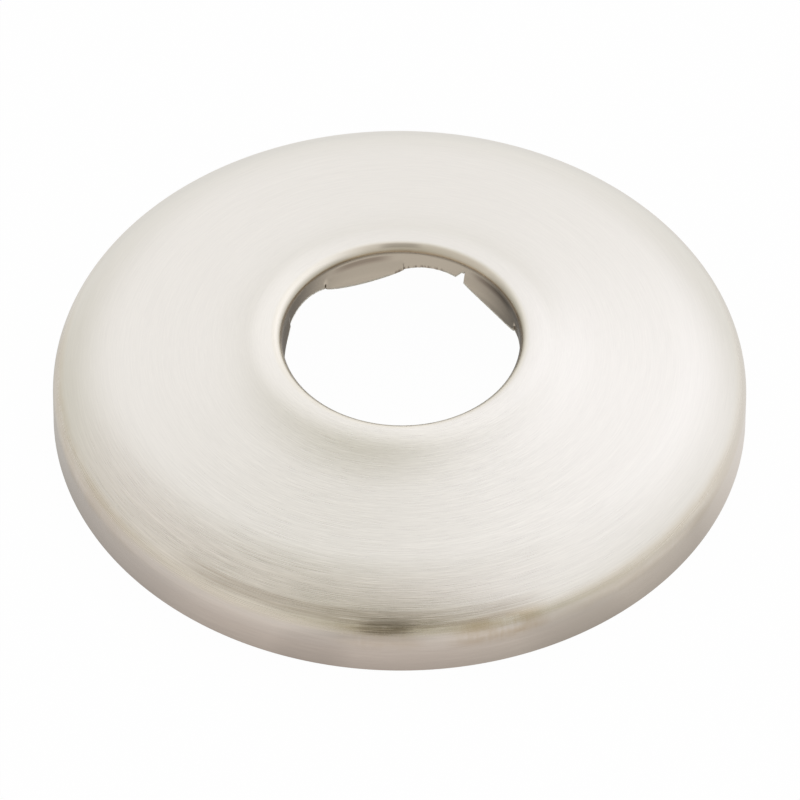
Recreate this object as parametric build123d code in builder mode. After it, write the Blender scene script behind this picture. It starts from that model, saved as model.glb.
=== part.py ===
from build123d import *
import os
from math import acos, asin, atan2, cos, degrees, radians, sin

# Pipe escutcheon, pressed from one round of thin sheet.
# A straight skirt stands on the wall. Its edge rounds over a broad brow onto a gently sloping face, and from
# the face a hollow neck rises to a crown and a rolled lip round the pipe hole. Inside the hole the sheet turns
# down into a collar, whose fingers are slit at the sides of their tips and set inward to grip the pipe.
# The origin is the centre of the rim, in the plane of the wall, and +Z points away from the wall.
# Lengths are in millimetres and angles in degrees. Widths run along the radius, heights along the axis.

# Driving dimensions of the shell, from the rim to the lip
flange_diameter = 63.5  # across the skirt
overall_height = 10.5  # wall to the top of the lip
dome_height = 7.15  # end of the straight skirt to the top of the lip
sheet = 0.5  # thickness of the metal
edge_radius = 2.35  # round from skirt to brow
brow_slope = 40.0  # where the round of the edge runs into that of the brow
brow_radius = 12.2  # round from edge to face
neck_radius = 18.1  # hollow round from face to crown
neck_slope = 22.0  # where the hollow of the neck runs into the round of the crown
crown_radius = 6.85  # round from neck to lip
crown_slope = 3.0  # where the round of the crown runs into that of the lip
lip_radius = 0.93  # round from crown to collar

# Driving dimensions of the pipe hole and its fingers
pipe_diameter = 21.34  # outside of the pipe, gripped by the fingers
pipe_clearance = 0.17  # pipe to collar
collar_length = 1.95  # end of the lip's round to the corners of the collar's edge
arch_rise = 0.5  # how far the collar's edge arches up between two fingers
finger_count = 5
first_finger = 37.5  # direction of the first finger, from +X
finger_width = 7.5
finger_length = 3.1  # end of the lip's round to the tip of a finger
finger_crown = 1.2  # height of a finger's rounded tip
finger_root = 0.5  # end of the lip's round to the root of a finger
set_start = 0.25  # root of a finger to the first corner of its inward set
set_height = 1.4  # first corner of the set to the second
set_bend = 3.0  # bend radius of the set on its visible side
slit = 0.08  # gap beside each finger
slit_length = 0.6  # collar's edge to the top of these gaps, above which the finger is one with the collar
tear_width = 1.05  # torn notch beside the first finger, at the collar's edge
tear_lean = 0.2  # slit to the top of the torn notch
tear_height = 1.15  # collar's edge to the top of the torn notch

# Radii, heights and angles that follow from them
flange_radius = flange_diameter / 2
grip_radius = pipe_diameter / 2
hole_radius = grip_radius + pipe_clearance
skirt_height = overall_height - dome_height
lip_base = overall_height - lip_radius
collar_end = lip_base - collar_length
root_height = lip_base - finger_root
tip_height = lip_base - finger_length
finger_corner = tip_height + finger_crown
slot_half = finger_width / 2 + slit
sector = 360 / finger_count
reach = hole_radius + 2 * sheet


def outward(slope):
    """Unit normal of the visible side where it falls towards the rim at this slope."""
    return Vector(sin(radians(slope)), cos(radians(slope)))


# Centres of the rounds in the section plane. Each round touches the next at the slope that they share.
edge_centre = Vector(flange_radius - edge_radius, skirt_height)
brow_centre = edge_centre - outward(brow_slope) * (brow_radius - edge_radius)
lip_centre = Vector(hole_radius + lip_radius, lip_base)
crown_centre = lip_centre - outward(crown_slope) * (crown_radius - lip_radius)
neck_centre = crown_centre + outward(neck_slope) * (crown_radius + neck_radius)

# The face is the straight line that touches both the round of the brow and the hollow of the neck
span = neck_centre - brow_centre
face_slope = degrees(atan2(span.X, span.Y) + acos((brow_radius + neck_radius) / span.length))


def shell_line(depth):
    """Line of the shell in the section plane, from rim to collar, at this depth under the visible side."""
    edge = CenterArc(edge_centre, edge_radius - depth, 0, 90 - brow_slope)
    brow = CenterArc(brow_centre, brow_radius - depth, 90 - brow_slope, brow_slope - face_slope)
    neck = CenterArc(neck_centre, neck_radius + depth, 270 - face_slope, face_slope - neck_slope)
    CenterArc(crown_centre, crown_radius - depth, 90 - neck_slope, neck_slope - crown_slope)
    lip = CenterArc(lip_centre, lip_radius - depth, 90 - crown_slope, 90 + crown_slope)
    Line((flange_radius - depth, 0), edge @ 0)
    Line(brow @ 1, neck @ 0)
    Line(lip @ 1, (hole_radius + depth, collar_end))


# One finger in the direction +X: a sector of the set sheet, trimmed to a tongue
with BuildPart() as finger:
    with BuildSketch(Plane.XZ.rotated((0, 0, -sector / 2))):
        with BuildLine():
            FilletPolyline(
                (hole_radius, root_height),
                (hole_radius, root_height - set_start),
                (grip_radius, root_height - set_start - set_height),
                (grip_radius, tip_height),
                radius=set_bend,
            )
            offset(amount=sheet, side=Side.LEFT)
        make_face()
    revolve(axis=Axis.Z, revolution_arc=sector)
    with BuildSketch(Plane.YZ):
        with BuildLine():
            tip = ThreePointArc(
                (-finger_width / 2, finger_corner),
                (0, tip_height),
                (finger_width / 2, finger_corner),
            )
            Polyline(tip @ 1, (finger_width / 2, root_height), (-finger_width / 2, root_height), tip @ 0)
        make_face()
    extrude(amount=reach, mode=Mode.INTERSECT)

# Room for one finger and its two slits, in the direction +X
with BuildPart() as slot:
    with BuildSketch(Plane.YZ):
        for width, top in ((finger_width, root_height), (2 * slot_half, collar_end + slit_length)):
            with Locations((0, top)):
                Rectangle(width, finger_length, align=(Align.CENTER, Align.MAX))
    extrude(amount=reach)

# Arch in the collar's edge half way between two fingers, in the direction +X
with BuildPart() as arch:
    half_gap = radians(sector / 2) - asin(slot_half / hole_radius)
    arch_half = hole_radius * sin(half_gap)
    with BuildSketch(Plane.YZ):
        with BuildLine():
            bow = ThreePointArc(
                (-arch_half, collar_end),
                (0, collar_end + arch_rise),
                (arch_half, collar_end),
            )
            Line(bow @ 1, bow @ 0)
        make_face()
    extrude(amount=reach)

# Torn notch beside a finger in the direction +X
with BuildPart() as tear:
    with BuildSketch(Plane.YZ):
        with BuildLine():
            Polyline(
                (slot_half - slit, collar_end - slit),
                (slot_half + tear_width, collar_end - slit),
                (slot_half + tear_lean, collar_end + tear_height),
                (slot_half - slit, collar_end + tear_height),
                close=True,
            )
        make_face()
    extrude(amount=reach)

# The shell, with the fingers set into the edge of its collar
with BuildPart() as escutcheon:
    with BuildSketch(Plane.XZ):
        with BuildLine():
            for depth in (0, sheet):
                shell_line(depth)
            for inner_end in ((flange_radius, 0), (hole_radius + sheet, collar_end)):
                Line(inner_end, (inner_end[0] - sheet, inner_end[1]))
        make_face()
    revolve(axis=Axis.Z)
    with PolarLocations(0, finger_count, first_finger + sector / 2):
        add(arch.part, mode=Mode.SUBTRACT)
    with PolarLocations(0, finger_count, first_finger):
        add(slot.part, mode=Mode.SUBTRACT)
    with PolarLocations(0, 1, first_finger):
        add(tear.part, mode=Mode.SUBTRACT)
    with PolarLocations(0, finger_count, first_finger):
        add(finger.part)

escutcheon.part.label = "escutcheon"

os.makedirs("parts", exist_ok=True)
export_step(escutcheon.part, "parts/escutcheon.step")
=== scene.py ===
from collections import namedtuple
from math import acos, asin, atan, atan2, cos, degrees, radians, sin, sqrt, tan

import bpy
from mathutils import Matrix, Vector, noise


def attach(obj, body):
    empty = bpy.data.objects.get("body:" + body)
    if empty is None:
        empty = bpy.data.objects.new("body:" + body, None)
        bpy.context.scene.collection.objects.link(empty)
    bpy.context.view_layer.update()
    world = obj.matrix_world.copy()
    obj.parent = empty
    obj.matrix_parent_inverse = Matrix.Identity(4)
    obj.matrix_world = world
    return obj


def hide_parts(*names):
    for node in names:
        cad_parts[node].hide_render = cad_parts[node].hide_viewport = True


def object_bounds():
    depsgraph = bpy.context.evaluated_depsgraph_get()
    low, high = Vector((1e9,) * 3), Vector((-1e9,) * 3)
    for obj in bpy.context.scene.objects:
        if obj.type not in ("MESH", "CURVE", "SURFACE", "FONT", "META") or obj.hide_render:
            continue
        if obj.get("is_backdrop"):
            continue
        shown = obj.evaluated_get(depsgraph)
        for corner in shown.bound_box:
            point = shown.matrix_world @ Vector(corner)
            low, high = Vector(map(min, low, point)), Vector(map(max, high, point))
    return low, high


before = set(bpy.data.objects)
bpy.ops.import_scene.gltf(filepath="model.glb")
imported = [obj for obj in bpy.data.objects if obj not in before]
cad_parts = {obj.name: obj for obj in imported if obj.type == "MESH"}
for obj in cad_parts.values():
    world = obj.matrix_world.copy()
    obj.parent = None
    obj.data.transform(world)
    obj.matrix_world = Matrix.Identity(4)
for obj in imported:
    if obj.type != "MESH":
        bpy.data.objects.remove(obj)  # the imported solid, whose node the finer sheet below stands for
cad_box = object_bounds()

MM = 0.001  # metres in a millimetre

# Sizes of the flange in millimetres and degrees. Each name means what it does in the part's source.
flange_radius = 31.75
overall_height = 10.5
skirt_height = 3.35
sheet = 0.5
edge_radius = 2.35
brow_slope = 40.0
brow_radius = 12.2
neck_radius = 18.1
neck_slope = 22.0
crown_radius = 6.85
crown_slope = 3.0
lip_radius = 0.93
grip_radius = 10.67
hole_radius = 10.84
collar_end = 7.62
arch_rise = 0.5
finger_count = 5
first_finger = 37.5
finger_width = 7.5
tip_height = 6.47
finger_crown = 1.2
root_height = 9.07
set_start = 0.25
set_height = 1.4
set_bend = 3.0
slit = 0.08
slit_length = 0.6
tear_width = 1.05
tear_lean = 0.2
tear_height = 1.15

# Offset of the hole on this pressing, whole inside the near radius and gone outside the far one
hole_shift = 0.12
shift_near = 12.7
shift_far = 19.5

# Sides of fingers that differ from the others, each as the strips of the collar before and after it
torn_side = (("finger", 0), ("gap", 0))
shut_side = (("gap", 0), ("finger", 1))

# Cut edges: height of the burrs in millimetres, their waves to a degree, and the width of the broken corners
burr_height = 0.03
burr_waves = 0.6
burr_spacing = 7.0  # between the lines of noise that two gaps follow
torn_burr_height = 0.09
torn_burr_waves = 1.9
torn_burr_line = 3.0  # line of noise that the torn gap follows
torn_burr_start = 4.0  # degrees before the gap's middle over which its burr grows
edge_break = 0.04
break_segments = 2
break_angle = 50  # least turn between two faces whose corner is broken

# Fineness of the mesh: steps along the section, columns round the collar and rows down it
skirt_steps = 4
edge_steps = 14
brow_steps = 14
face_steps = 6
neck_steps = 10
crown_steps = 8
lip_steps = 18
finger_columns = 30
gap_columns = 24
torn_columns = 60
collar_rows = 4  # lip to the roots of the fingers
strip_rows = 14  # roots of the fingers to the cut edge

lip_base = overall_height - lip_radius
slot_half = finger_width / 2 + slit
sector = 360 / finger_count


def outward(slope):
    """Unit normal of the visible side, in the section plane, where it falls to the rim at this slope."""
    return Vector((sin(radians(slope)), cos(radians(slope))))


# Centres of the rounds in the section plane, and the slope of the straight face between brow and neck
edge_centre = Vector((flange_radius - edge_radius, skirt_height))
brow_centre = edge_centre - outward(brow_slope) * (brow_radius - edge_radius)
lip_centre = Vector((hole_radius + lip_radius, lip_base))
crown_centre = lip_centre - outward(crown_slope) * (crown_radius - lip_radius)
neck_centre = crown_centre + outward(neck_slope) * (crown_radius + neck_radius)
span = neck_centre - brow_centre
face_slope = degrees(atan2(span.x, span.y) + acos((brow_radius + neck_radius) / span.length))


# The sheet as a mesh

def shares(steps):
    """Even shares of a stretch, without 0 and with 1."""
    return [step / steps for step in range(1, steps + 1)]


def run(start, end, steps):
    """Points of a straight stretch, without its first."""
    return [start.lerp(end, share) for share in shares(steps)]


def arc(centre, radius, start, sweep, steps):
    """Points of an arc, without its first."""
    angles = [radians(start + sweep * share) for share in shares(steps)]
    return [centre + Vector((cos(angle), sin(angle))) * radius for angle in angles]


def shell_line():
    """The visible side in the section plane, from the rim over the lip to where the collar starts."""
    line = [Vector((flange_radius, 0))]
    line += run(line[-1], Vector((flange_radius, skirt_height)), skirt_steps)
    line += arc(edge_centre, edge_radius, 0, 90 - brow_slope, edge_steps)
    line += arc(brow_centre, brow_radius, 90 - brow_slope, brow_slope - face_slope, brow_steps)
    line += run(line[-1], neck_centre - outward(face_slope) * neck_radius, face_steps)
    line += arc(neck_centre, neck_radius, 270 - face_slope, face_slope - neck_slope, neck_steps)
    line += arc(crown_centre, crown_radius, 90 - neck_slope, neck_slope - crown_slope, crown_steps)
    line += arc(lip_centre, lip_radius, 90 - crown_slope, 90 + crown_slope, lip_steps)
    return line


def bow(half_chord, rise, across):
    """Height over its chord of a round of this rise, at a distance from its middle."""
    radius = (half_chord ** 2 + rise ** 2) / (2 * rise)
    return rise - radius + sqrt(radius ** 2 - across ** 2)


def set_radius(height):
    """Radius of a finger's visible side at this height: straight, set inward between two bends, straight."""
    turn = atan((hole_radius - grip_radius) / set_height)
    tangent = set_bend * tan(turn / 2)
    upper = root_height - set_start
    lower = upper - set_height
    if height >= upper + tangent:
        return hole_radius
    if height >= upper - tangent * cos(turn):
        return hole_radius - set_bend + sqrt(set_bend ** 2 - (upper + tangent - height) ** 2)
    if height >= lower + tangent * cos(turn):
        return grip_radius + (height - lower) * tan(turn)
    if height >= lower - tangent:
        return grip_radius + set_bend - sqrt(set_bend ** 2 - (height - lower + tangent) ** 2)
    return grip_radius


def torn_edge(across):
    """Height of the torn notch's edge beside the first finger, at a distance from the finger's middle."""
    top = Vector((slot_half + tear_lean, collar_end + tear_height))
    stand_floor_shade = Vector((slot_half + tear_width, collar_end - slit))
    share = max(0, (across - top.x) / (stand_floor_shade.x - top.x))
    return top.y + share * (stand_floor_shade.y - top.y)


# One column of the mesh: its strip of the collar, the strip's middle direction, its direction and distance
# across from there, and the height where it ends
Column = namedtuple("Column", "strip middle turn across end")


def finger_strip(number):
    """Columns of one finger, evenly spaced across it."""
    middle = first_finger + sector * number
    half = finger_width / 2
    for step in range(finger_columns + 1):
        across = half * (2 * step / finger_columns - 1)
        end = tip_height + finger_crown - bow(half, finger_crown, across)
        turn = degrees(asin(across / hole_radius))
        yield Column(("finger", number), middle, turn, across, end)


def gap_strip(number):
    """Columns of the plain collar after a finger. The first gap is torn beside its finger and rougher."""
    torn = number == 0
    steps = torn_columns if torn else gap_columns
    middle = first_finger + sector * (number + 0.5)
    half_turn = sector / 2 - degrees(asin(slot_half / hole_radius))
    half_chord = hole_radius * sin(radians(half_turn))
    turns = [half_turn * (2 * step / steps - 1) for step in range(steps + 1)]
    if torn:
        turns.append(degrees(asin((slot_half + tear_lean) / hole_radius)) - sector / 2)
    for turn in sorted(turns):
        across = hole_radius * sin(radians(turn))
        end = collar_end + bow(half_chord, arch_rise, across)
        end += burr_height * noise.noise(Vector((turn * burr_waves, number * burr_spacing, 0)))
        if torn:
            ragged = max(0, noise.noise(Vector((turn * torn_burr_waves, torn_burr_line, 0))))
            end += torn_burr_height * ragged * max(0, min(1, turn / torn_burr_start + 1))
            end = max(end, torn_edge(hole_radius * sin(radians(turn + sector / 2))))
        yield Column(("gap", number), middle, turn, across, end)


def collar_point(column, height):
    """A point of the visible side below the collar's start, on a finger or on the plain collar."""
    angle = radians(column.turn)
    radius = hole_radius
    if column.strip[0] == "finger":
        radius = set_radius(height)
        angle = asin(column.across / radius)
    angle += radians(column.middle)
    return Vector((radius * cos(angle), radius * sin(angle), height))


def column_points(column, line):
    """All points of one column, from the rim to the end of the collar."""
    angle = radians(column.middle + column.turn)
    points = [Vector((point.x * cos(angle), point.x * sin(angle), point.y)) for point in line]
    heights = [lip_base + (root_height - lip_base) * share for share in shares(collar_rows)]
    heights += [root_height + (column.end - root_height) * share for share in shares(strip_rows)]
    return points + [collar_point(column, height) for height in heights]


def pressed(point):
    """Where a point of the true form lies on this pressing, whose hole is a little off centre."""
    share = max(0, min(1, (shift_far - point.xy.length) / (shift_far - shift_near)))
    return point + Vector((hole_shift * share * share * (3 - 2 * share), 0, 0))


def sheet_mesh():
    """The visible side as a grid of columns round the axis, slit at the sides of the fingers' tips. Each
    point of the collar keeps its distance from the cut edge below it."""
    line = shell_line()
    columns = []
    for number in range(finger_count):
        columns += finger_strip(number)
        columns += gap_strip(number)
    points = [pressed(point) * MM for column in columns for point in column_points(column, line)]

    # Faces from each column to the next, down to the cut edge or to the top of the slit between them
    root_row = len(line) + collar_rows - 1
    rows = root_row + strip_rows
    shut_share = (root_height - collar_end - slit_length) / (root_height - collar_end)
    slit_row = root_row + round(strip_rows * shut_share)
    faces = []
    for index, column in enumerate(columns):
        following = (index + 1) % len(columns)
        strips = (column.strip, columns[following].strip)
        last_row = slit_row
        if strips[0] == strips[1] or strips == shut_side:
            last_row = rows
        if strips == torn_side:
            last_row = root_row
        near = index * (rows + 1)
        far = following * (rows + 1)
        for row in range(last_row):
            faces.append((near + row, far + row, far + row + 1, near + row + 1))

    distances = []
    for column in columns:
        strip_height = root_height - column.end
        distances += [strip_height] * (root_row + 1)
        distances += [strip_height * (1 - share) for share in shares(strip_rows)]

    mesh = bpy.data.meshes.new("escutcheon_sheet")
    mesh.from_pydata(points, [], faces)
    mesh.polygons.foreach_set("use_smooth", [True] * len(faces))
    edge_distance = mesh.attributes.new("edge_distance", "FLOAT", "POINT")
    edge_distance.data.foreach_set("value", distances)
    return mesh


def sheet_object(material):
    """The finished sheet: thickness towards its hidden side, and its cut edges broken a little."""
    piece = bpy.data.objects.new("escutcheon_sheet", sheet_mesh())
    bpy.context.scene.collection.objects.link(piece)
    piece.data.materials.append(material)
    thick = piece.modifiers.new("thickness", "SOLIDIFY")
    thick.thickness = sheet * MM
    thick.offset = -1
    thick.use_even_offset = True
    thick.use_quality_normals = True
    broken = piece.modifiers.new("broken_edges", "BEVEL")
    broken.width = edge_break * MM
    broken.segments = break_segments
    broken.limit_method = "ANGLE"
    broken.angle_limit = radians(break_angle)
    broken.harden_normals = True
    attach(piece, "root")
    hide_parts("escutcheon")


# Nodes

class Nodes:
    """Short ways of adding nodes to one tree. A value may be a number, a colour or another node's output."""

    def __init__(self, tree):
        self.tree = tree
        tree.nodes.clear()

    def add(self, kind, inputs=(), **settings):
        node = self.tree.nodes.new(kind)
        for name, value in settings.items():
            setattr(node, name, value)
        for key, value in dict(inputs).items():
            self.feed(node.inputs[key], value)
        return node

    def feed(self, socket, value):
        if isinstance(value, bpy.types.NodeSocket):
            self.tree.links.new(value, socket)
        else:
            socket.default_value = value

    def math(self, operation, *values):
        return self.add("ShaderNodeMath", dict(enumerate(values)), operation=operation).outputs[0]

    def product(self, first, *others):
        for other in others:
            first = self.math("MULTIPLY", first, other)
        return first

    def total(self, *parts, base=0.0):
        """A base and the sum of pairs of a weight and a value."""
        for weight, value in parts:
            base = self.math("MULTIPLY_ADD", value, weight, base)
        return base

    def ramp(self, value, low, high, start=0.0, end=1.0):
        """Smooth step of a value, from start at low to end at high."""
        inputs = {"Value": value, "From Min": low, "From Max": high, "To Min": start, "To Max": end}
        return self.add("ShaderNodeMapRange", inputs, interpolation_type="SMOOTHSTEP").outputs[0]

    def fade(self, value, limits):
        """From 0 at the first limit to 1 at the second and, with four limits, from the third back to 0."""
        share = self.ramp(value, *limits[:2])
        if len(limits) == 4:
            share = self.product(share, self.ramp(value, limits[3], limits[2]))
        return share

    def noise(self, vector, detail):
        inputs = {"Vector": vector, "Scale": 1.0, "Detail": detail}
        return self.add("ShaderNodeTexNoise", inputs).outputs["Fac"]

    def mix(self, share, first, second, blend="MIX"):
        node = self.add("ShaderNodeMix", data_type="RGBA", blend_type=blend)
        self.feed(node.inputs["Factor"], share)
        self.feed(node.inputs["A"], first)
        self.feed(node.inputs["B"], second)
        return node.outputs["Result"]

    def tinted(self, colour, share, tint):
        """A colour, tinted where the share is 1."""
        return self.mix(share, colour, tint, "MULTIPLY")

    def vector(self, operation, *vectors):
        """A vector operation that gives a vector."""
        inputs = dict(enumerate(vectors))
        return self.add("ShaderNodeVectorMath", inputs, operation=operation).outputs["Vector"]

    def measure(self, operation, *vectors):
        """A vector operation that gives a number."""
        inputs = dict(enumerate(vectors))
        return self.add("ShaderNodeVectorMath", inputs, operation=operation).outputs["Value"]

    def scaled(self, vector, factor):
        inputs = {0: vector, "Scale": factor}
        return self.add("ShaderNodeVectorMath", inputs, operation="SCALE").outputs["Vector"]

    def dot(self, vector, axis):
        return self.measure("DOT_PRODUCT", vector, axis)

    def combine(self, x, y, z):
        return self.add("ShaderNodeCombineXYZ", {"X": x, "Y": y, "Z": z}).outputs[0]

    def place(self):
        """Position on the object, in millimetres."""
        return self.scaled(self.add("ShaderNodeTexCoord").outputs["Object"], 1 / MM)


# The metal

nickel = (0.80, 0.772, 0.712, 1)
painted_edge_glint = (0.95, 0.93, 0.88, 1)  # painted glint on the cut edges

# Grains of noise, each with its waves to a radian round the axis and to a millimetre across
Grain = namedtuple("Grain", "per_radian per_millimetre detail", defaults=[2.0])
striation_grain = Grain(90.0, 0.6)
stain_grain = Grain(7.0, 0.6, 3.0)
stand_reflection_grain = Grain(3.0, 4.0, 3.0)
core_grain = Grain(5.0, 5.0, 3.0)
speck_grain = Grain(70.0, 0.5)
glint_grain = Grain(12.0, 0.0)

# Brush lines: pairs of a weight and a grain, and the strength of the lines in places
brush_lines = (
    (1.0, Grain(5.0, 8.0, 3.0)),
    (0.8, Grain(16.0, 11.0)),
    (0.4, Grain(3.0, 1.8)),
)
plain_lines = 0.3  # share of them that is left on skirt and collar
side_lines = 0.6  # strength at the sides and the back
front_lines = 1.2  # added in front
brow_lines = 1.6  # added on the brow at the front left
line_shade = 0.15  # how much they change the colour
line_depth = 0.005  # depth in millimetres
lip_lightening = 0.06  # how much lighter the lip is there

# Where the metal is brushed: limits along the section, how far striations draw them out in millimetres, and
# limits of the radius
brushed_along = (27.9, 25.4)
striation_length = 0.8
brushed_radius = (10.9, 11.5)

# Marks on the metal, each with its tint, if it has one of its own, and its place. A place has limits of the
# radius, of the height and of the distance along the section (the radius less the height), in millimetres,
# and a direction with limits of the cosine of the angle round the axis from there. Two limits go from none of
# the mark to all of it, and four go back to none.
Mark = namedtuple("Mark", "tint radius height along azimuth cosines", defaults=[None] * 6)

# Front, brow and lighter part of the lip, where the brush lines or the brightness differ
front = Mark(azimuth=-90, cosines=(0.4, 1.0))
brow = Mark((1.0, 0.975, 0.99, 1), along=(17.0, 23.0), azimuth=-115, cosines=(0.5, 0.95))
lighter_lip = Mark(radius=(14.5, 12.8), azimuth=215, cosines=(-0.4, 0.5))

# Lip, its dull back, the browner collar, and painted shade in a thin line where the two meet
lip = Mark((0.97, 0.955, 0.91, 1), radius=(11.9, 11.5), height=(9.7, 10.1))
dull_lip = Mark(
    (1.0, 0.97, 0.97, 1),
    radius=(11.65, 11.4),
    height=(9.93, 10.08),
    azimuth=76,
    cosines=(0.6, 0.95),
)
collar = Mark((0.83, 0.75, 0.66, 1), radius=(11.4, 11.1), height=(10.18, 9.95))
lip_line_shade = Mark((0.92, 0.88, 0.85, 1), radius=(11.3, 11.1), height=(9.88, 9.94, 9.98, 10.04))

# Painted shade on the lip's inner side: left, right, a short line at the back, and the wall on the right
lip_shade = (0.74, 0.73, 0.72, 1)
lip_shade_radius = (11.7, 11.4)
left_lip_shade = Mark(
    lip_shade,
    radius=lip_shade_radius,
    height=(9.72, 9.9, 10.15, 10.45),
    azimuth=150,
    cosines=(0.75, 0.9),
)
right_lip_shade = Mark(
    lip_shade,
    radius=lip_shade_radius,
    height=(9.0, 9.5, 10.15, 10.52),
    azimuth=10,
    cosines=(0.80, 0.93),
)
back_lip_shade = Mark(
    lip_shade,
    radius=lip_shade_radius,
    height=(10.2, 10.3, 10.41, 10.48),
    azimuth=90,
    cosines=(0.98, 0.998),
)
right_wall_shade = Mark(
    lip_shade,
    radius=(11.5, 11.1),
    height=(10.35, 10.12),
    azimuth=-2,
    cosines=(0.93, 0.97),
)

# Edge bend and browner skirt, which is less brown at the far left
bend = Mark((1.0, 0.99, 0.975, 1), along=(25.0, 26.3, 28.0, 29.0))
skirt = Mark((0.95, 0.870, 0.815, 1), along=(25.2, 30.0))
far_left = Mark(azimuth=190, cosines=(0.6, 0.95))
far_left_loss = 0.35

# Painted shade in the crease where each finger starts to lean inward, with limits of a cosine that is 1 at
# the finger's middle
finger_crease_shade = Mark((0.62, 0.58, 0.56, 1), height=(8.5, 9.2, 9.4, 9.65))
crease_cosines = (0.0, 0.9)

# Stains on the edge bend: the direction of the middle of each, its reach round the axis on either side in
# degrees, and its strength. They show in patches, within limits of their noise.
Stain = namedtuple("Stain", "azimuth reach strength")
stains = (
    Stain(192, 36, 0.5),
    Stain(-73, 10, 1.0),
    Stain(-40, 30, 0.3),
    Stain(-93, 9, 0.5),
)
stain = Mark((0.82, 0.75, 0.64, 1), along=(25.0, 26.5, 28.2, 29.6))
stain_striation = 0.25
stain_limits = (-0.3, 0.15)

# Painted dark reflection of the camera's stand along the front of the brow, its tail to the right and its
# darker core, with limits of noise
stand_reflection = Mark((0.80, 0.77, 0.74, 1), along=(23.7, 24.4, 25.4, 26.1), azimuth=-98, cosines=(0.809, 0.914))
stand_reflection_tail = Mark(along=(24.9, 25.2, 26.0, 26.4), azimuth=-80, cosines=(0.978, 0.994))
stand_reflection_limits = (-0.32, 0.1)
core = Mark((0.52, 0.50, 0.47, 1), along=(24.6, 25.6, 26.4, 27.4))
core_azimuth = -92
core_cosines = (0.9955, 1.0)
core_raggedness = 0.008
core_limits = (-0.35, 0.1)

# Cut edge of the collar, for its dark specks and painted glint: limits of the distance from it, of noise, and
# round the ragged part
speck_tint = (0.45, 0.42, 0.40, 1)
speck_distances = (0.45, 0.1)
speck_limits = (0.02, 0.12)
glint_distances = (0.24, 0.10)
glint_limits = (-0.2, 0.0)
ragged_edge = Mark(azimuth=82, cosines=(0.96, 0.985))
smooth_edge = Mark(azimuth=82, cosines=(0.985, 0.96))

# Roughness of the metal, and what is added to it in places
plain_roughness = 0.24
brushed_roughness = 0.06
line_roughness = 0.08
dull_roughness = 0.3
cut_roughness = 0.7
anisotropy = 0.6
anisotropic_turn = 0.25  # of a whole turn


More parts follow.
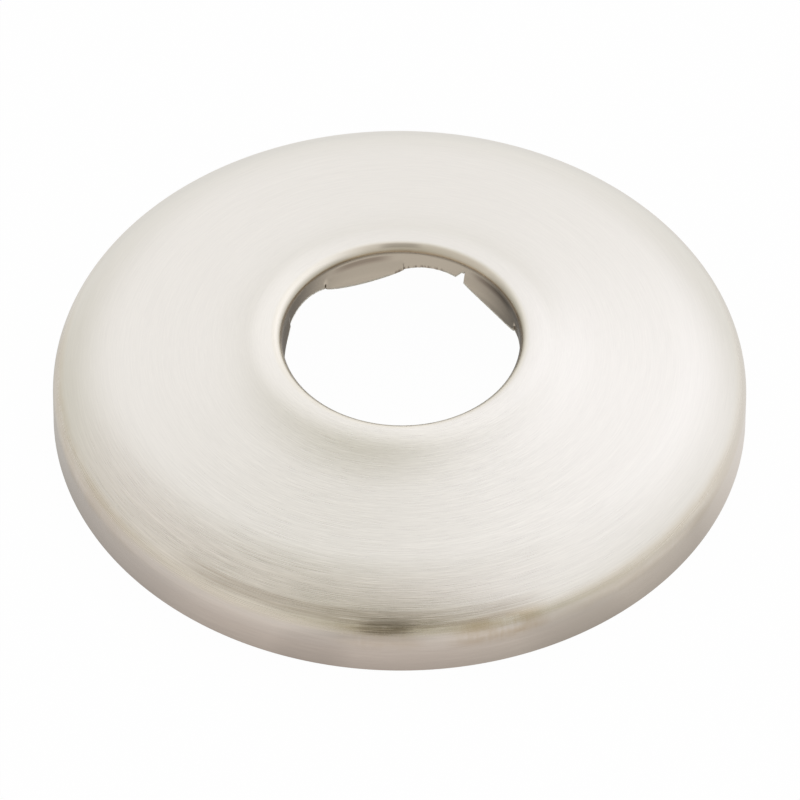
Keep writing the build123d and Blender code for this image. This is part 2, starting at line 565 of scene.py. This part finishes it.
def brushed_nickel():
    """Nickel plate brushed round the axis, smoother on skirt and collar, with stains along the edge bend."""
    material = bpy.data.materials.new("brushed_nickel")
    material.use_nodes = True
    nodes = Nodes(material.node_tree)

    # Radius, height and distance along the section, and the direction round the axis
    axes = nodes.add("ShaderNodeSeparateXYZ", {"Vector": nodes.place()}).outputs
    radius = nodes.measure("LENGTH", nodes.combine(axes["X"], axes["Y"], 0.0))
    height = axes["Z"]
    along = nodes.math("SUBTRACT", radius, height)
    east = nodes.math("DIVIDE", axes["X"], radius)
    north = nodes.math("DIVIDE", axes["Y"], radius)

    def streaks(grain):
        """Noise of this grain, centred on 0."""
        x = nodes.math("MULTIPLY", east, grain.per_radian)
        y = nodes.math("MULTIPLY", north, grain.per_radian)
        across = nodes.math("MULTIPLY", along, grain.per_millimetre)
        return nodes.math("SUBTRACT", nodes.noise(nodes.combine(x, y, across), grain.detail), 0.5)

    def facing(azimuth):
        """Cosine of the angle round the axis from this direction."""
        return nodes.total((cos(radians(azimuth)), east), (sin(radians(azimuth)), north))

    def shown(mark):
        """Share of a mark that shows."""
        parts = []
        for value, limits in ((radius, mark.radius), (height, mark.height), (along, mark.along)):
            if limits:
                parts.append(nodes.fade(value, limits))
        if mark.cosines:
            parts.append(nodes.fade(facing(mark.azimuth), mark.cosines))
        return nodes.product(*parts)

    # The upper side is brushed, from the lip to a soft end on the edge bend
    striations = streaks(striation_grain)
    drawn_out = nodes.total((1.0, along), (striation_length, striations))
    brushed = nodes.product(nodes.fade(drawn_out, brushed_along), nodes.fade(radius, brushed_radius))
    lines = nodes.product(
        nodes.total(*((weight, streaks(grain)) for weight, grain in brush_lines)),
        nodes.total((1 - plain_lines, brushed), base=plain_lines),
        nodes.total((brow_lines, shown(brow)), (front_lines, shown(front)), base=side_lines),
    )

    # Colour: brush lines, a lip lighter on the left, and the marks that are plain tints
    shade = nodes.total((line_shade, lines), (lip_lightening, shown(lighter_lip)), base=1.0)
    colour = nodes.tinted(nickel, 1.0, nodes.combine(shade, shade, shade))
    dull = shown(dull_lip)
    inside = shown(collar)
    colour = nodes.tinted(colour, dull, dull_lip.tint)
    colour = nodes.tinted(colour, inside, collar.tint)
    # Tints, among them painted shade on the lip's inner side and in a thin line where the lip meets the
    # collar
    for mark in (brow, lip, lip_line_shade, left_lip_shade, right_lip_shade, back_lip_shade, right_wall_shade, bend):
        colour = nodes.tinted(colour, shown(mark), mark.tint)
    kept = nodes.total((-far_left_loss, shown(far_left)), base=1.0)
    colour = nodes.tinted(colour, nodes.product(shown(skirt), kept), skirt.tint)

    # Painted shade in the creases of the fingers
    turned = nodes.math("MULTIPLY", nodes.math("ARCTAN2", north, east), finger_count)
    middle = nodes.math("COSINE", nodes.math("SUBTRACT", turned, radians(finger_count * first_finger)))
    crease_shade_share = nodes.product(shown(finger_crease_shade), inside, nodes.fade(middle, crease_cosines))
    colour = nodes.tinted(colour, crease_shade_share, finger_crease_shade.tint)

    # Brown stains in patches along the edge bend
    blotches = nodes.total((1.0, streaks(stain_grain)), (stain_striation, striations))
    stained = 0.0
    for spot in stains:
        window = nodes.ramp(facing(spot.azimuth), cos(radians(spot.reach)), 1.0, 0.0, spot.strength)
        stained = nodes.math("MAXIMUM", stained, window)
    stained = nodes.product(shown(stain), nodes.fade(blotches, stain_limits), stained)
    colour = nodes.tinted(colour, stained, stain.tint)

    # The painted dark reflection of the camera's stand, in streaks, with a core whose ends are ragged
    smear = streaks(stand_reflection_grain)
    stand_reflected = nodes.math("MAXIMUM", shown(stand_reflection), shown(stand_reflection_tail))
    stand_reflected = nodes.product(stand_reflected, nodes.fade(smear, stand_reflection_limits))
    colour = nodes.tinted(colour, stand_reflected, stand_reflection.tint)
    core_end = nodes.total((1.0, facing(core_azimuth)), (core_raggedness, streaks(core_grain)))
    dark = nodes.product(shown(core), nodes.fade(core_end, core_cosines), nodes.fade(smear, core_limits))
    colour = nodes.tinted(colour, dark, core.tint)

    # The cut edge of the collar has a painted glint here and there, and it has dark specks where it is ragged
    cut = nodes.add("ShaderNodeAttribute", attribute_name="edge_distance").outputs["Fac"]
    specks = nodes.product(
        nodes.fade(cut, speck_distances),
        nodes.fade(streaks(speck_grain), speck_limits),
        shown(ragged_edge),
        inside,
    )
    colour = nodes.tinted(colour, specks, speck_tint)
    # Painted glint on the cut edge, which is also made rougher there
    glint_share = nodes.product(
        nodes.fade(cut, glint_distances),
        nodes.fade(streaks(glint_grain), glint_limits),
        shown(smooth_edge),
    )
    colour = nodes.mix(glint_share, colour, painted_edge_glint)

    roughness = nodes.total(
        (brushed_roughness, brushed),
        (line_roughness, lines),
        (dull_roughness, dull),
        (cut_roughness, glint_share),
        base=plain_roughness,
    )
    bump = nodes.add("ShaderNodeBump", {"Strength": 1.0, "Distance": line_depth * MM, "Height": lines})
    tangent = nodes.add("ShaderNodeTangent", direction_type="RADIAL", axis="Z")
    shader = nodes.add("ShaderNodeBsdfPrincipled", {
        "Base Color": colour,
        "Metallic": 1.0,
        "Roughness": roughness,
        "Anisotropic": anisotropy,
        "Anisotropic Rotation": anisotropic_turn,
        "Normal": bump.outputs["Normal"],
        "Tangent": tangent.outputs[0],
    })
    output = nodes.add("ShaderNodeOutputMaterial")
    nodes.feed(output.inputs["Surface"], shader.outputs[0])
    return material


# Stage: floor, world, camera

white = (1, 1, 1, 1)

# Floor: half its width in metres, how far it lies under the rim in millimetres, and its grey under the light
floor_half = 1.5
floor_drop = 0.02
floor_grey = (0.86, 0.86, 0.86, 1)

# How much of what the camera and the reflections show of the floor is its own glow
seen_glow = 0.98
mirrored_glow = 0.88

# The floor's glow in reflections: limits of the distance from the axis in millimetres, and the glow there.
# At the back it also has limits of the distance behind the axis, in the direction of the back's middle.
hole_limits = (10.5, 5.0)
hole_glow = (0.16, 0.74)
front_limits = (24.0, 38.0)
front_glow = (0.15, 0.77)
under_limits = (10.8, 13.0, 24.0, 28.0)
under_glow = 0.45
back_limits = (26.0, 31.0)
back_azimuth = 70
behind_limits = (-22.0, 8.0)
behind_glow = (0.15, 0.85)
far_limits = (35.0, 110.0)
far_glow = (0.0, 0.3)

# Painted dim patches in the floor's glow, as the skirt mirrors it: the direction of the middle of each, its
# reach round the axis on either side in degrees, and the share of the glow that it keeps
FloorPatch = namedtuple("FloorPatch", "azimuth reach shade")
floor_patches = (
    FloorPatch(-148, 24, 0.90),
    FloorPatch(-105, 8, 0.86),
    FloorPatch(-58, 12, 0.86),
    FloorPatch(-10, 22, 0.86),
)

# The dark stand of the camera, mirrored in the front of the edge: its direction, limits of how far a unit
# vector towards it points aside, ahead and upward, the depth of its shade, and its colour
stand_azimuth = -94
stand_aside = (0.09, 0.03)
stand_ahead = (0.0, 0.2)
stand_rise = (-0.2, 0.55, 0.82, 0.93)
stand_shade = 0.95
stand_colour = (0.07, 0.05, 0.03, 1)

# Its painted shade on the floor's glow: limits of the cosine round the axis and of the distance, and the glow
# that it takes
stand_floor_cosines = (0.955, 1.0)
stand_floor_limits = (34.0, 46.0)
stand_floor_depth = 0.25


def heading(azimuth, elevation):
    """Unit vector from the object: azimuth from +X towards +Y, elevation above the floor."""
    a = radians(azimuth)
    e = radians(elevation)
    return Vector((cos(a) * cos(e), sin(a) * cos(e), sin(e)))


def white_floor():
    """A pale floor, white to the camera. In reflections its glow is painted light and shadow: brighter behind
    than in front, and dim close to the flange, under it, at the edge of its hole and towards the camera's
    stand."""
    material = bpy.data.materials.new("white_floor")
    material.use_nodes = True
    nodes = Nodes(material.node_tree)
    place = nodes.place()
    distance = nodes.measure("LENGTH", place)
    towards = nodes.vector("NORMALIZE", place)
    behind = nodes.dot(place, heading(back_azimuth, 0))

    # Glow in reflections, with painted shadow and light in the hole, under the flange and outside it
    in_hole = nodes.ramp(distance, *hole_limits, *hole_glow)
    under = nodes.math("MULTIPLY", nodes.fade(distance, under_limits), under_glow)
    around = nodes.ramp(distance, *front_limits, *front_glow)
    for patch in floor_patches:
        cosine = nodes.dot(towards, heading(patch.azimuth, 0))
        around = nodes.product(around, nodes.ramp(cosine, cos(radians(patch.reach)), 1.0, 1.0, patch.shade))
    lit_back = nodes.ramp(behind, *behind_limits, *behind_glow)
    lit_back = nodes.math("ADD", lit_back, nodes.ramp(behind, *far_limits, *far_glow))
    lit_back = nodes.product(lit_back, nodes.fade(distance, back_limits))
    ahead = nodes.dot(towards, heading(stand_azimuth, 0))
    stand_floor_shade = nodes.product(nodes.fade(ahead, stand_floor_cosines), nodes.fade(distance, stand_floor_limits))
    outside = nodes.math("MAXIMUM", around, lit_back)
    outside = nodes.product(outside, nodes.total((-stand_floor_depth, stand_floor_shade), base=1.0))
    reflected = nodes.math("MAXIMUM", in_hole, nodes.math("MAXIMUM", under, outside))

    rays = nodes.add("ShaderNodeLightPath").outputs
    direct = nodes.math("MAXIMUM", rays["Is Camera Ray"], rays["Is Transmission Ray"])
    share = nodes.math("MULTIPLY", rays["Is Glossy Ray"], mirrored_glow)
    share = nodes.math("MAXIMUM", share, nodes.math("MULTIPLY", direct, seen_glow))
    strength = nodes.math("MAXIMUM", direct, reflected)
    matte = nodes.add("ShaderNodeBsdfDiffuse", {"Color": floor_grey})
    glow = nodes.add("ShaderNodeEmission", {"Color": white, "Strength": strength})
    both = nodes.add("ShaderNodeMixShader", {0: share, 1: matte.outputs[0], 2: glow.outputs[0]})
    output = nodes.add("ShaderNodeOutputMaterial")
    nodes.feed(output.inputs["Surface"], both.outputs[0])

    mesh = bpy.data.meshes.new("floor")
    corners = [(-1, -1), (1, -1), (1, 1), (-1, 1)]
    mesh.from_pydata([(floor_half * x, floor_half * y, 0) for x, y in corners], [], [(0, 1, 2, 3)])
    mesh.materials.append(material)
    floor = bpy.data.objects.new("floor", mesh)
    floor.location.z = -floor_drop * MM
    bpy.context.scene.collection.objects.link(floor)
    floor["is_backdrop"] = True


# Light of the studio: its plain level all round, and soft lobes of more or less light, each with its
# direction, the angle over which it fades out, its strength and its colour
plain_light = 0.70
least_light = 0.03
plain_colour = (1.0, 0.982, 0.90)
bright_colour = (0.97, 1.0, 1.24)
Lobe = namedtuple("Lobe", "azimuth elevation reach strength colour")
lobes = (
    Lobe(90, 34, 52, 0.36, bright_colour),
    Lobe(4, 36, 67, 0.42, bright_colour),
    Lobe(150, 45, 35, 0.11, bright_colour),
    Lobe(-90, 40, 36, -0.24, bright_colour),
    Lobe(-145, 20, 40, 0.07, plain_colour),
    Lobe(-19, 0, 60, -0.26, bright_colour),
)


def studio_world():
    """Soft light from all round, brightest from behind and the right, dark where the camera stands, and white
    to the camera."""
    world = bpy.data.worlds.new("studio")
    world.use_nodes = True
    bpy.context.scene.world = world
    nodes = Nodes(world.node_tree)
    direction = nodes.add("ShaderNodeTexCoord").outputs["Generated"]
    light = nodes.combine(*(plain_light * channel for channel in plain_colour))
    for lobe in lobes:
        cosine = nodes.dot(direction, heading(lobe.azimuth, lobe.elevation))
        amount = nodes.ramp(cosine, cos(radians(lobe.reach)), 1.0, 0.0, lobe.strength)
        light = nodes.vector("ADD", light, nodes.scaled(lobe.colour, amount))
    light = nodes.vector("MAXIMUM", light, [least_light] * 3)
    aside = nodes.math("ABSOLUTE", nodes.dot(direction, heading(stand_azimuth + 90, 0)))
    ahead = nodes.dot(direction, heading(stand_azimuth, 0))
    rise = nodes.dot(direction, heading(0, 90))
    stand = nodes.product(
        nodes.fade(aside, stand_aside),
        nodes.fade(ahead, stand_ahead),
        nodes.fade(rise, stand_rise),
        stand_shade,
    )
    light = nodes.mix(stand, light, stand_colour)
    rays = nodes.add("ShaderNodeLightPath").outputs
    seen = nodes.mix(rays["Is Camera Ray"], light, white)
    background = nodes.add("ShaderNodeBackground", {"Color": seen, "Strength": 1.0})
    output = nodes.add("ShaderNodeOutputWorld")
    nodes.feed(output.inputs["Surface"], background.outputs[0])


# The photograph's frame: its size and the object's origin in pixels, the scale there, and the camera's
# direction and roll in degrees, distance in millimetres, sensor width in millimetres and reach in metres
picture_size = 800
origin_x = 399.5
origin_y = 412.1
pixels_per_mm = 10.894
camera_azimuth = -90
camera_elevation = 47.2
camera_roll = 0.32
camera_distance = 1172.0
sensor_width = 36.0
camera_reach = 10


def photo_camera():
    """A long lens in front of the object, placed so that the flange lies as in the photograph."""
    data = bpy.data.cameras.new("camera")
    data.sensor_width = sensor_width
    data.lens = pixels_per_mm * camera_distance / picture_size * sensor_width
    data.shift_x = (picture_size / 2 - origin_x) / picture_size
    data.shift_y = (origin_y - picture_size / 2) / picture_size
    data.clip_end = camera_reach
    back = heading(camera_azimuth, camera_elevation)
    right = Matrix.Rotation(radians(camera_roll), 3, back) @ Vector((1, 0, 0))
    up = back.cross(right)
    rotation = Matrix((right, up, back)).transposed().to_4x4()
    camera = bpy.data.objects.new("camera", data)
    camera.matrix_world = Matrix.Translation(back * camera_distance * MM) @ rotation
    bpy.context.scene.collection.objects.link(camera)
    bpy.context.scene.camera = camera


bpy.context.scene.view_settings.view_transform = "Standard"
sheet_object(brushed_nickel())
white_floor()
studio_world()
photo_camera()

boxes = {"cad": cad_box, "visual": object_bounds()}
{name: [list(corner) for corner in box] for name, box in boxes.items()}
